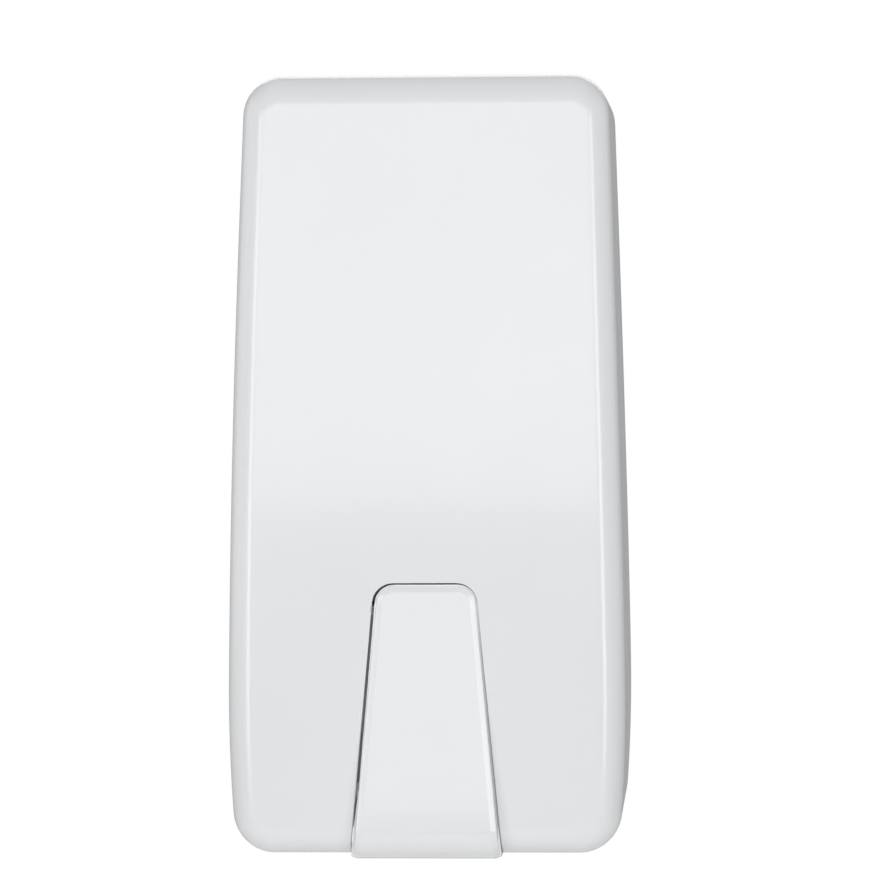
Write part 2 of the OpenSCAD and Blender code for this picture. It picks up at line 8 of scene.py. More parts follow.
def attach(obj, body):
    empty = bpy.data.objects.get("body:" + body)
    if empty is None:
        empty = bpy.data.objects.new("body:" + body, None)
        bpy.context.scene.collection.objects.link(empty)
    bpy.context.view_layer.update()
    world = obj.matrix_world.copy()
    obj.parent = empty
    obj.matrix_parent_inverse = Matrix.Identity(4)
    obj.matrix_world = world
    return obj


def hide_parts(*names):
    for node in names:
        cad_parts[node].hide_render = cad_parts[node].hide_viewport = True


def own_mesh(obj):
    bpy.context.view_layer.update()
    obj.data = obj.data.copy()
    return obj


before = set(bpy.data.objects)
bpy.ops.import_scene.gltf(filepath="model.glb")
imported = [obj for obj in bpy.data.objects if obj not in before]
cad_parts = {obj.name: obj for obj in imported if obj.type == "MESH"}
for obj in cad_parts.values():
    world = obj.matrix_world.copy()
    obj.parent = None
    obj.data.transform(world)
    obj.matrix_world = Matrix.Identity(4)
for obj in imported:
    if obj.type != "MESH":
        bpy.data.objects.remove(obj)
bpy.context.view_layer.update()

MM = 0.001

# ---- Sizes of the cover and the lever, in millimetres above the cover's bottom ----

BODY_W = 120.0
BODY_H = 235.0
BODY_D = 109.0
WALL = 2.5
EDGE_R = 9.0
TOP_CORNER_R = 12.0
BOTTOM_CORNER_R = 12.0
BELLY_Z = 47.0
TOP_IN = 4.8
BOTTOM_IN = 2.2
LEAN_Z = 90.0
LEAN_H = 95.0
LEAN = radians(8)
RIM_GAP = 1.5
HINGE_Z = 13.0
HINGE_Y = -HINGE_Z - RIM_GAP

LEVER_TOP_W = 30.0
LEVER_BOTTOM_W = 44.0
LEVER_H = 81.0
LEVER_CORNER_R = 5.5
LEVER_OUT = 5.0
LEVER_DROP = 1.2
LEVER_WALL = 2.2
LEVER_GAP = 0.9
LEVER_NOSE_R = 9.0
LEVER_DEPTH = 11.0
LEVER_FLARE = 0.3  # share of LEVER_OUT that grows with the square of the way down
LEVER_STEP = 0.45
LEVER_STEP_DEPTH = 0.7
LEVER_STEP_RAMP = 0.15
LEVER_PLAY = 0.35
LEVER_FILL = 0.65  # closes the wide side of the gap around the nose
LEVER_FILL_TOP = 20.0
LEVER_CHAMFER = 1.3
LEVER_CHAMFER_DEPTH = 0.5
PIVOT_Y = -BODY_D + 9
PIVOT_Z = LEVER_H - 7
PIVOT_BORE_R = 2.05
HUB_R = 5.0
HUB_X0, HUB_X1 = 11.5, 14.5
STOP_X0, STOP_X1 = 20.2, 24.9
STOP_Z0, STOP_Z1 = 17, 22
SCREW_BOSSES = (("lever_upper_boss", 61), ("lever_lower_boss", 47))

BOTTOM_OPEN_X = LEVER_BOTTOM_W / 2 + 10
BOSS_X1 = BODY_W / 2 - 3
BOSS_X0 = BOSS_X1 - 7.5
HINGE_BORE_R = 2.55
HINGE_BOSS_R = 6.0
PIN_EAR_X0, PIN_EAR_X1 = 17, 20.5
PIN_EAR_R = 5.0
SILL_OPEN_Y = 2 * HINGE_Y - 9
LOCK_Y = -30.0
HOUSING_HEAD_R = 10.0
LOCK_BORE_R = 8.05
LOCK_PAD_R = 13.0


def half_width(z):
    """Half the cover's width at a height."""
    if z > BELLY_Z:
        return BODY_W / 2 - TOP_IN * min(1, (z - BELLY_Z) / (BODY_H - BELLY_Z)) ** 1.3
    return BODY_W / 2 - BOTTOM_IN * ((BELLY_Z - max(z, 0)) / BELLY_Z) ** 2


def front_in(z):
    """How far the front face has leaned back at a height."""
    bend_r = LEAN_H / sin(LEAN)
    if z < LEAN_Z:
        return 0.0
    if z < LEAN_Z + LEAN_H:
        return bend_r - sqrt(bend_r ** 2 - (z - LEAN_Z) ** 2)
    return bend_r * (1 - cos(LEAN)) + (z - LEAN_Z - LEAN_H) * tan(LEAN)


def lever_front(z):
    """Front face of the lever at a height. It flares out a little more towards the bottom."""
    share = min(1, (LEVER_H - z) / (LEVER_H - LEVER_NOSE_R))
    return -BODY_D - LEVER_OUT * ((1 - LEVER_FLARE) * share + LEVER_FLARE * share ** 2)


# ---- Modelling helpers ----

CIRCLE_POINTS = 32
MERGE_DISTANCE = 0.003

def block(x0, x1, y0, y1, z0, z1):
    """A new mesh with one block, in millimetres."""
    bm = bmesh.new()
    size = Matrix.Diagonal((x1 - x0, y1 - y0, z1 - z0, 1))
    place = Matrix.Translation(((x0 + x1) / 2, (y0 + y1) / 2, (z0 + z1) / 2))
    bmesh.ops.create_cube(bm, size=1, matrix=place @ size)
    return bm


def round_edges(bm, edges, radius, segments):
    bmesh.ops.bevel(bm, geom=list(edges), offset=radius, offset_type="OFFSET", segments=segments,
                    profile=0.5, affect="EDGES", clamp_overlap=True, material=-1)


def edges_at(bm, test):
    """The edges whose two ends both pass a test."""
    return [e for e in bm.edges if all(test(v.co) for v in e.verts)]


def cut(bm, point, normal, faces=None):
    """Cuts all faces, or the ones given, along a plane."""
    faces = list(bm.faces) if faces is None else faces
    geom = set(faces)
    for f in faces:
        geom.update(f.edges)
        geom.update(f.verts)
    bmesh.ops.bisect_plane(bm, geom=list(geom), dist=1e-5, plane_co=point, plane_no=normal)


def remove_faces(bm, test):
    gone = [f for f in bm.faces if test(f.calc_center_median())]
    bmesh.ops.delete(bm, geom=gone, context="FACES")


def open_circle(bm, centre, radius, axis=2):
    """Opens a round hole in the flat face across an axis, and returns the edges around it.

    The face is cut to a square patch, and the square's 32 points then move onto the circle.
    """
    centre = Vector(centre)
    first, second = [i for i in range(3) if i != axis]
    side = radius + max(1, radius * 0.25)

    def level():
        return [f for f in bm.faces if abs(f.normal[axis]) > 0.99
                and abs(f.calc_center_median()[axis] - centre[axis]) < 0.1]

    def patch():
        return min(level(), key=lambda f: (f.calc_center_median() - centre).length)
    for i in (first, second):
        for step in (-side, side):
            point, normal = centre.copy(), Vector((0, 0, 0))
            point[i] += step
            normal[i] = 1
            cut(bm, point, normal, level())
    bmesh.ops.subdivide_edges(bm, edges=patch().edges, cuts=CIRCLE_POINTS // 4 - 1)
    bmesh.ops.inset_individual(bm, faces=[patch()], thickness=side * 0.1)
    hole = patch()
    for v in hole.verts:
        turn = atan2(v.co[second] - centre[second], v.co[first] - centre[first])
        v.co[first] = centre[first] + radius * cos(turn)
        v.co[second] = centre[second] + radius * sin(turn)
    rim = list(hole.edges)
    bmesh.ops.delete(bm, geom=[hole], context="FACES_ONLY")
    return rim


def draw_out(bm, rim, offset):
    """Draws the open edges out along a straight line and returns the new open edges."""
    made = bmesh.ops.extrude_edge_only(bm, edges=rim)["geom"]
    bmesh.ops.translate(bm, vec=offset, verts=[g for g in made if isinstance(g, bmesh.types.BMVert)])
    return [g for g in made if isinstance(g, bmesh.types.BMEdge)]


def turned(profile, x=0.0, y=0.0, steps=48, ring=False, grips=0, grip_depth=0.0):
    """A turned body from its (radius, height) profile, either capped at both ends or a closed ring."""
    bm = bmesh.new()
    radius, height = profile[0]
    bmesh.ops.create_circle(bm, segments=steps, radius=radius, matrix=Matrix.Translation((0, 0, height)))
    first = list(bm.edges)
    loop = first
    for next_radius, next_height in profile[1:]:
        made = bmesh.ops.extrude_edge_only(bm, edges=loop)["geom"]
        loop = [g for g in made if isinstance(g, bmesh.types.BMEdge)]
        for v in {v for e in loop for v in e.verts}:
            v.co = Vector((v.co.x * next_radius / radius, v.co.y * next_radius / radius, next_height))
        radius, height = next_radius, next_height
    if ring:
        bmesh.ops.bridge_loops(bm, edges=first + loop)
    else:
        bmesh.ops.contextual_create(bm, geom=first)
        bmesh.ops.contextual_create(bm, geom=loop)
    if grips:
        widest = max(r for r, _ in profile)
        for v in bm.verts:
            if v.co.xy.length > widest - 0.01:
                v.co.xy *= 1 - grip_depth * (0.5 + 0.5 * cos(grips * atan2(v.co.y, v.co.x))) / widest
    bmesh.ops.recalc_face_normals(bm, faces=bm.faces)
    bmesh.ops.translate(bm, vec=(x, y, 0), verts=bm.verts)
    return bm


def sleeve(inner, outer, start, end, steps=48):
    """A plain ring between two radii and two heights."""
    return turned([(inner, start), (inner, end), (outer, end), (outer, start)], steps=steps, ring=True)


def laid_along_x(bm, x, y, z):
    """Turns a body made around the vertical axis so that it lies along X, with its start at x."""
    bmesh.ops.rotate(bm, cent=(0, 0, 0), matrix=Matrix.Rotation(radians(90), 3, "Y"), verts=bm.verts)
    bmesh.ops.translate(bm, vec=(x, y, z), verts=bm.verts)
    return bm


def laid_along_y(bm, x, y, z):
    """Turns a body made around the vertical axis so that it points to the front, with its start at y."""
    bmesh.ops.rotate(bm, cent=(0, 0, 0), matrix=Matrix.Rotation(radians(90), 3, "X"), verts=bm.verts)
    bmesh.ops.translate(bm, vec=(x, y, z), verts=bm.verts)
    return bm


def joined(*parts):
    """One mesh from several closed bodies."""
    whole = bmesh.new()
    for bm in parts:
        mesh = bpy.data.meshes.new("part")
        bm.to_mesh(mesh)
        bm.free()
        whole.from_mesh(mesh)
        bpy.data.meshes.remove(mesh)
    return whole


def rounded_block(x0, x1, y0, y1, z0, z1, radius=0.5, segments=2):
    bm = block(x0, x1, y0, y1, z0, z1)
    round_edges(bm, bm.edges, radius, segments)
    return bm


def mirrored(bm):
    """Adds the body's mirror image on the other side of the middle plane."""
    twin = bmesh.ops.duplicate(bm, geom=list(bm.verts) + list(bm.edges) + list(bm.faces))["geom"]
    faces = [g for g in twin if isinstance(g, bmesh.types.BMFace)]
    bmesh.ops.scale(bm, vec=(-1, 1, 1), verts=[g for g in twin if isinstance(g, bmesh.types.BMVert)])
    bmesh.ops.reverse_faces(bm, faces=faces)
    return bm


def face_out(bm, direction):
    """Turns an open mesh so that its outermost face in a direction looks that way."""
    bmesh.ops.recalc_face_normals(bm, faces=bm.faces)
    direction = Vector(direction)
    outermost = max(bm.faces, key=lambda f: f.calc_center_median().dot(direction))
    if outermost.normal.dot(direction) < 0:
        bmesh.ops.reverse_faces(bm, faces=bm.faces)


def piece(name, bm, material, body):
    """Makes an object from a mesh in millimetres above the cover's bottom, and lets it ride."""
    bmesh.ops.transform(bm, matrix=Matrix.Scale(MM, 4) @ Matrix.Translation((0, 0, -BODY_H / 2)),
                        verts=bm.verts)
    for f in bm.faces:
        f.smooth = True
    mesh = bpy.data.meshes.new(name)
    bm.to_mesh(mesh)
    bm.free()
    obj = bpy.data.objects.new(name, mesh)
    bpy.context.scene.collection.objects.link(obj)
    obj.data.materials.append(material)
    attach(obj, body)
    return obj


def give_wall(obj, thickness):
    mod = obj.modifiers.new("wall", "SOLIDIFY")
    mod.thickness = thickness * MM
    mod.offset = -1
    mod.use_even_offset = True
    mod.use_quality_normals = True


def soften(obj, radius, segments=2, angle=40):
    mod = obj.modifiers.new("soft_edges", "BEVEL")
    mod.width = radius * MM
    mod.segments = segments
    mod.limit_method = "ANGLE"
    mod.angle_limit = radians(angle)
    mod.use_clamp_overlap = True
    mod.harden_normals = False
    weld = obj.modifiers.new("merge_points", "WELD")
    weld.merge_threshold = MERGE_DISTANCE * MM
    weight = obj.modifiers.new("flat_faces", "WEIGHTED_NORMAL")
    weight.mode = "FACE_AREA"
    weight.weight = 50
    weight.keep_sharp = False


# ---- Materials ----

def new_group(name, inputs, outputs):
    group = bpy.data.node_groups.new(name, "ShaderNodeTree")
    for label, kind, value in inputs:
        socket = group.interface.new_socket(label, in_out="INPUT", socket_type=kind)
        socket.default_value = value
    for label, kind in outputs:
        group.interface.new_socket(label, in_out="OUTPUT", socket_type=kind)
    start = group.nodes.new("NodeGroupInput")
    end = group.nodes.new("NodeGroupOutput")
    return group, start, end


def link(tree, a, b):
    tree.links.new(a, b)


def noise(tree, scale, detail=2.0):
    node = tree.nodes.new("ShaderNodeTexNoise")
    node.inputs["Scale"].default_value = scale
    node.inputs["Detail"].default_value = detail
    return node


def spread(tree, value, low, high):
    """Maps a noise value from its usual range to low..high."""
    node = tree.nodes.new("ShaderNodeMapRange")
    node.inputs["From Min"].default_value = 0.3
    node.inputs["From Max"].default_value = 0.7
    node.inputs["To Min"].default_value = low
    node.inputs["To Max"].default_value = high
    link(tree, value, node.inputs["Value"])
    return node.outputs["Result"]


def moulded_group():
    """Moulded plastic: faint flow marks in the colour, uneven gloss and a fine skin."""
    group, start, end = new_group(
        "moulded_skin",
        [("Light", "NodeSocketColor", (0.9, 0.9, 0.9, 1)),
         ("Dark", "NodeSocketColor", (0.85, 0.85, 0.85, 1)),
         ("Gloss", "NodeSocketFloat", 0.25), ("Uneven", "NodeSocketFloat", 0.05)],
        [("Colour", "NodeSocketColor"), ("Roughness", "NodeSocketFloat"), ("Height", "NodeSocketFloat")])
    place = group.nodes.new("ShaderNodeTexCoord")
    flow = noise(group, 14.0, 3.0)
    skin = noise(group, 900.0, 2.0)
    patches = noise(group, 45.0, 4.0)
    for node in (flow, skin, patches):
        link(group, place.outputs["Object"], node.inputs["Vector"])
    mix = group.nodes.new("ShaderNodeMix")
    mix.data_type = "RGBA"
    link(group, spread(group, flow.outputs["Fac"], 0, 1), mix.inputs["Factor"])
    link(group, start.outputs["Dark"], mix.inputs["A"])
    link(group, start.outputs["Light"], mix.inputs["B"])
    rough = group.nodes.new("ShaderNodeMath")
    rough.operation = "MULTIPLY_ADD"
    link(group, spread(group, patches.outputs["Fac"], -1, 1), rough.inputs[0])
    link(group, start.outputs["Uneven"], rough.inputs[1])
    link(group, start.outputs["Gloss"], rough.inputs[2])
    link(group, mix.outputs["Result"], end.inputs["Colour"])
    link(group, rough.outputs["Value"], end.inputs["Roughness"])
    link(group, skin.outputs["Fac"], end.inputs["Height"])
    return group


def turned_group():
    """Drawn or turned metal: fine streaks along one axis."""
    group, start, end = new_group(
        "turned_metal",
        [("Light", "NodeSocketColor", (0.8, 0.8, 0.8, 1)),
         ("Dark", "NodeSocketColor", (0.5, 0.5, 0.5, 1)),
         ("Gloss", "NodeSocketFloat", 0.25)],
        [("Colour", "NodeSocketColor"), ("Roughness", "NodeSocketFloat"), ("Height", "NodeSocketFloat")])
    place = group.nodes.new("ShaderNodeTexCoord")
    stretch = group.nodes.new("ShaderNodeMapping")
    stretch.inputs["Scale"].default_value = (1.0, 1.0, 9.0)
    link(group, place.outputs["Object"], stretch.inputs["Vector"])
    streak = noise(group, 2200.0, 2.0)
    tone = noise(group, 25.0, 2.0)
    link(group, stretch.outputs["Vector"], streak.inputs["Vector"])
    link(group, place.outputs["Object"], tone.inputs["Vector"])
    mix = group.nodes.new("ShaderNodeMix")
    mix.data_type = "RGBA"
    link(group, spread(group, tone.outputs["Fac"], 0, 1), mix.inputs["Factor"])
    link(group, start.outputs["Dark"], mix.inputs["A"])
    link(group, start.outputs["Light"], mix.inputs["B"])
    rough = group.nodes.new("ShaderNodeMath")
    rough.operation = "ADD"
    link(group, spread(group, streak.outputs["Fac"], -0.03, 0.05), rough.inputs[0])
    link(group, start.outputs["Gloss"], rough.inputs[1])
    link(group, mix.outputs["Result"], end.inputs["Colour"])
    link(group, rough.outputs["Value"], end.inputs["Roughness"])
    link(group, streak.outputs["Fac"], end.inputs["Height"])
    return group


MOULDED = moulded_group()
TURNED = turned_group()


BUMP_DEPTH = 0.00005


def shade(name, group, light, dark, gloss, bump, uneven=None, **fixed):
    """A material whose colour, roughness and bump come from a group, and the rest is fixed."""
    mat = bpy.data.materials.new(name)
    mat.use_nodes = True
    tree = mat.node_tree
    shader = tree.nodes["Principled BSDF"]
    skin = tree.nodes.new("ShaderNodeGroup")
    skin.node_tree = group
    skin.inputs["Light"].default_value = (*light, 1)
    skin.inputs["Dark"].default_value = (*dark, 1)
    skin.inputs["Gloss"].default_value = gloss
    if uneven is not None:
        skin.inputs["Uneven"].default_value = uneven
    relief = tree.nodes.new("ShaderNodeBump")
    relief.inputs["Strength"].default_value = bump
    relief.inputs["Distance"].default_value = BUMP_DEPTH
    link(tree, skin.outputs["Colour"], shader.inputs["Base Color"])
    link(tree, skin.outputs["Roughness"], shader.inputs["Roughness"])
    link(tree, skin.outputs["Height"], relief.inputs["Height"])
    link(tree, relief.outputs["Normal"], shader.inputs["Normal"])
    for socket, value in fixed.items():
        shader.inputs[socket.replace("_", " ")].default_value = value
    return mat


gloss_white = shade("gloss_white", MOULDED, (0.85, 0.855, 0.86), (0.835, 0.84, 0.845), 0.2, 0.05, 0.03,
                    Coat_Weight=0.25, Coat_Roughness=0.08)
inner_white = shade("inner_white", MOULDED, (0.78, 0.78, 0.765), (0.74, 0.74, 0.72), 0.45, 0.25, 0.06)
grey_plastic = shade("grey_plastic", MOULDED, (0.30, 0.32, 0.34), (0.26, 0.275, 0.29), 0.4, 0.3, 0.07)
clear_plastic = shade("clear_plastic", MOULDED, (0.95, 0.975, 0.98), (0.93, 0.965, 0.97), 0.14, 0.02, 0.03,
                      Transmission_Weight=0.86, IOR=1.3)
black_rubber = shade("black_rubber", MOULDED, (0.03, 0.03, 0.032), (0.018, 0.018, 0.02), 0.6, 0.5, 0.08)
steel = shade("steel", TURNED, (0.66, 0.66, 0.67), (0.6, 0.6, 0.61), 0.28, 0.08, Metallic=1.0)
plated = shade("plated", TURNED, (0.77, 0.77, 0.78), (0.73, 0.73, 0.745), 0.2, 0.02, Metallic=1.0)

NODE_MATERIALS = {
    inner_white: ["back_plate", "reservoir_shelf", "neck_cap", "pump_body", "piston_stem"],
    grey_plastic: ["keeper", "reservoir_lid", "stem_guide", "nozzle_tip", "lift_fork"],
    clear_plastic: ["reservoir"],
    black_rubber: ["lid_seal", "neck_gasket", "inlet_valve", "piston_seal", "outlet_valve"],
    steel: ["hinge_pins", "keeper_screws", "shelf_screws", "pump_spring", "lever_pin", "pin_clips",
            "fork_screws", "lock_cam", "cam_screw"],
    plated: ["lock_housing", "lock_nut", "lock_barrel"],
    gloss_white: ["cover", "push_lever"],
}
for material, names in NODE_MATERIALS.items():
    for name in names:
        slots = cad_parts[name].data.materials
        slots.clear()
        slots.append(material)


# ---- Cover ----

COVER_ROW = 5.0


def shape_cover(bm):
    """Draws the block in to the cover's waisted outline and leaning front."""
    for v in bm.verts:
        z = v.co.z
        v.co.x *= half_width(z) / (BODY_W / 2)
        v.co.y += front_in(z) * min(1, max(0, -v.co.y / BODY_D))
        out_y = v.co.y - HINGE_Y
        out_z = v.co.z - HINGE_Z
        reach = sqrt(out_y ** 2 + out_z ** 2)
        if out_y > 0 and out_z < 0 and reach > HINGE_Z:
            v.co.y = HINGE_Y + out_y * HINGE_Z / reach
            v.co.z = HINGE_Z + out_z * HINGE_Z / reach


def slot_outline(grow):
    """Points of the lever's front outline from its lower right to its lower left."""
    right = [(LEVER_BOTTOM_W / 2 + grow, -20.0)]
    steps = 8
    for i in range(steps + 1):
        turn = pi / 2 * i / steps
        right.append((LEVER_TOP_W / 2 - LEVER_CORNER_R + (LEVER_CORNER_R + grow) * cos(turn),
                      LEVER_H - LEVER_CORNER_R + (LEVER_CORNER_R + grow) * sin(turn)))
    # The side runs straight from the corner to the lever's lower edge
    slope = (LEVER_BOTTOM_W - LEVER_TOP_W) / 2 / (LEVER_H - LEVER_CORNER_R + LEVER_DROP)
    right[0] = (right[1][0] + slope * (right[1][1] + 20.0), -20.0)
    return right + [(-x, z) for x, z in reversed(right)]


def inside_outline(x, z, points):
    """True if a point is on the inner side of every edge of a convex outline."""
    count = len(points)
    for i in range(count):
        (x0, z0), (x1, z1) = points[i], points[(i + 1) % count]
        if (x1 - x0) * (z - z0) - (z1 - z0) * (x - x0) < 0:
            return False
    return True


def make_cover():
    half = BODY_W / 2
    bm = block(-half, half, -BODY_D, -RIM_GAP, 0, BODY_H)
    along_y = [e for e in bm.edges if abs(e.verts[0].co.y - e.verts[1].co.y) > 1]
    round_edges(bm, [e for e in along_y if e.verts[0].co.z > 1], TOP_CORNER_R, 10)
    along_y = [e for e in bm.edges if abs(e.verts[0].co.y - e.verts[1].co.y) > 1
               and max(v.co.z for v in e.verts) < 1 and abs(e.verts[0].co.x) > half - 1]
    round_edges(bm, along_y, BOTTOM_CORNER_R, 10)
    remove_faces(bm, lambda c: c.y > -RIM_GAP - 0.01)
    front = edges_at(bm, lambda p: p.y < -BODY_D + 0.01)
    round_edges(bm, front, EDGE_R, 8)

    # Rows across the cover carry its curved outline
    z = BOTTOM_CORNER_R
    while z < BODY_H - TOP_CORNER_R - 3:
        z += COVER_ROW
        cut(bm, (0, 0, z), (0, 0, 1))
    for y in range(-27, -2, 2):
        cut(bm, (0, y, 0), (0, 1, 0), [f for f in bm.faces if f.calc_center_median().z < HINGE_Z + 8])
    for z in range(1, int(HINGE_Z)):
        cut(bm, (0, 0, z), (0, 0, 1), [f for f in bm.faces if f.calc_center_median().y > 2 * HINGE_Y])
    for x in (-half + EDGE_R + 2, half - EDGE_R - 2):
        cut(bm, (x, 0, 0), (1, 0, 0), [f for f in bm.faces if f.calc_center_median().y < -BODY_D + 1])
    for z in (EDGE_R + 1.5, BODY_H - EDGE_R - 1.5):
        cut(bm, (0, 0, z), (0, 0, 1), [f for f in bm.faces if f.calc_center_median().y < -BODY_D + 1])

    # Openings in the bottom for the lever's swing, the soap and the sill
    def low(f):
        return f.calc_center_median().z < EDGE_R and f.calc_center_median().y > -BODY_D + 2
    for x in (-BOTTOM_OPEN_X, BOTTOM_OPEN_X, -BOSS_X0, BOSS_X0):
        cut(bm, (x, 0, 0), (1, 0, 0), [f for f in bm.faces if low(f)])
    for y in (-BODY_D + EDGE_R + 0.5, SILL_OPEN_Y):
        cut(bm, (0, y, 0), (0, 1, 0), [f for f in bm.faces if f.calc_center_median().z < EDGE_R])
    remove_faces(bm, lambda c: c.z < EDGE_R and c.y > -BODY_D + EDGE_R + 0.5 and abs(c.x) < BOTTOM_OPEN_X)
    remove_faces(bm, lambda c: c.z < HINGE_Z + 8 and c.y > SILL_OPEN_Y and abs(c.x) < BOSS_X0)

    shape_cover(bm)

    # Slot of the lever
    outline = slot_outline(LEVER_GAP)
    reach = LEVER_BOTTOM_W / 2 + LEVER_GAP + 3

    def near_slot(f):
        c = f.calc_center_median()
        return c.y < -BODY_D + EDGE_R + 1 and c.z < LEVER_H + 8
    for x in (-reach, reach):
        cut(bm, (x, 0, 0), (1, 0, 0), [f for f in bm.faces if near_slot(f)])
    cut(bm, (0, 0, LEVER_H + 4), (0, 0, 1), [f for f in bm.faces if near_slot(f)])
    for (x0, z0), (x1, z1) in zip(outline, outline[1:]):
        def beside(f):
            c = f.calc_center_median()
            return near_slot(f) and abs(c.x) < reach and c.z < LEVER_H + 4
        cut(bm, (x0, 0, z0), Vector((z1 - z0, 0, x0 - x1)).normalized(), [f for f in bm.faces if beside(f)])
    remove_faces(bm, lambda c: c.y < -BODY_D + EDGE_R + 1 and inside_outline(c.x, c.z, outline))

    open_circle(bm, (0, LOCK_Y, BODY_H), HOUSING_HEAD_R + 0.05)
    face_out(bm, (0, 0, 1))

    cover = piece("cover_shell", bm, gloss_white, "cover")
    give_wall(cover, WALL)
    soften(cover, 0.45)
    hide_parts("cover")


def add_cover_details():
    """Hinge bosses, ears for the lever's pin and the pad under the lock, all moulded onto the cover."""
    boss = sleeve(HINGE_BORE_R, HINGE_BOSS_R, 0, BOSS_X1 - BOSS_X0)
    boss = mirrored(laid_along_x(boss, BOSS_X0, HINGE_Y, HINGE_Z))
    soften(piece("cover_hinge_bosses", boss, gloss_white, "cover"), 0.4)
    ears = block(PIN_EAR_X0, PIN_EAR_X1, -BODY_D + WALL - 0.8, PIVOT_Y + PIN_EAR_R,
                 PIVOT_Z - PIN_EAR_R, PIVOT_Z + PIN_EAR_R)
    rounding = PIN_EAR_R - 0.1
    rear = edges_at(ears, lambda p: p.y > PIVOT_Y + rounding)
    round_edges(ears, [e for e in rear if abs(e.verts[0].co.x - e.verts[1].co.x) > 1], rounding, 8)
    soften(piece("cover_ears", mirrored(ears), gloss_white, "cover"), 0.4)
    bottom, face, top = 229.5, 232.45, 233.8
    pad = turned([(LOCK_BORE_R, bottom), (LOCK_PAD_R, bottom), (LOCK_PAD_R, face),
                  (HOUSING_HEAD_R + 0.03, face), (HOUSING_HEAD_R + 0.03, top), (LOCK_BORE_R, top)],
                 y=LOCK_Y, ring=True)
    soften(piece("cover_lock_pad", pad, gloss_white, "cover"), 0.25)


def make_lever():
    half = LEVER_TOP_W / 2
    corner_z = LEVER_H - LEVER_CORNER_R
    back = -BODY_D + LEVER_DEPTH
    bottom = -LEVER_DROP + LEVER_CHAMFER_DEPTH
    bm = block(-half, half, -BODY_D - LEVER_OUT, back, bottom, LEVER_H)
    top = [e for e in bm.edges if abs(e.verts[0].co.y - e.verts[1].co.y) > 1 and e.verts[0].co.z > 1]
    round_edges(bm, top, LEVER_CORNER_R, 10)
    nose = edges_at(bm, lambda p: p.z < bottom + 0.01 and p.y < -BODY_D)
    round_edges(bm, nose, LEVER_NOSE_R, 12)
    for z in range(14, int(corner_z), 6):
        cut(bm, (0, 0, z), (0, 0, 1))
    slope = (LEVER_BOTTOM_W - LEVER_TOP_W) / 2 / (corner_z + LEVER_DROP)
    for v in bm.verts:
        if v.co.z < corner_z:
            v.co.x *= 1 + slope * (corner_z - v.co.z) / half
        if v.co.y < -BODY_D:
            y = lever_front(v.co.z) if v.co.z > bottom + LEVER_NOSE_R - 0.1 else v.co.y
            v.co.y = LEVER_CHAMFER_DEPTH + y
    remove_faces(bm, lambda c: c.y > back - 0.01)
    sharp = [e for e in bm.edges if len(e.link_faces) == 2 and e.calc_face_angle() > radians(60)]
    round_edges(bm, sharp, 0.5, 3)
    front = [f for f in bm.faces if (f.normal.y < -0.95 or f.calc_center_median().z < LEVER_NOSE_R)
             and abs(f.normal.x) < 0.02 and f.calc_area() > 5]
    bmesh.ops.inset_region(bm, faces=front, thickness=LEVER_CHAMFER, depth=LEVER_CHAMFER_DEPTH,
                           use_even_offset=True, use_boundary=False)

    # A small step around the sides and the top, just below the cover's face, narrows the gap
    step_y = -BODY_D + LEVER_STEP_DEPTH
    for y in (step_y, step_y + LEVER_STEP_RAMP):
        cut(bm, (0, y, 0), (0, 1, 0))
    for v in bm.verts:
        if v.co.y > step_y + 0.1:
            out_x = max(0, abs(v.co.x) - (half - LEVER_CORNER_R))
            out_z = v.co.z - corner_z
            if out_z > 0:
                reach = sqrt(out_x ** 2 + out_z ** 2)
                v.co.x += LEVER_STEP * out_x / reach * (1 if v.co.x > 0 else -1)
                v.co.z += LEVER_STEP * out_z / reach
            elif v.co.x > half - 1:
                v.co.x += LEVER_STEP
            elif v.co.x < 1 - half:
                low = (LEVER_FILL_TOP - v.co.z) / (LEVER_FILL_TOP - LEVER_NOSE_R)
                v.co.x -= LEVER_STEP + LEVER_FILL * min(1, max(0, low))
    face_out(bm, (0, -1, 0))
    bmesh.ops.translate(bm, vec=(LEVER_PLAY, 0, 0), verts=bm.verts)
    lever = piece("lever_shell", bm, gloss_white, "lever")
    give_wall(lever, LEVER_WALL - 0.2)
    soften(lever, 0.12, 1, 18)
    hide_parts("push_lever")

    hub = sleeve(PIVOT_BORE_R, HUB_R, 0, HUB_X1 - HUB_X0)
    hubs = mirrored(laid_along_x(hub, HUB_X0, PIVOT_Y, PIVOT_Z))
    soften(piece("lever_hubs", hubs, gloss_white, "lever"), 0.3)
    tabs = mirrored(block(STOP_X0, STOP_X1, -BODY_D + 2.9, -BODY_D + 5.4, STOP_Z0, STOP_Z1))
    soften(piece("lever_stops", tabs, gloss_white, "lever"), 0.4)
    boss_y = -BODY_D + 5
    for name, z in SCREW_BOSSES:
        reach = boss_y - lever_front(z) - 1
        boss = laid_along_y(turned([(3.2, 0), (3.2, reach - 1), (3.8, reach)]), 0, boss_y, z)
        soften(piece(name, boss, gloss_white, "lever"), 0.3)


# ---- Parts inside the cover ----

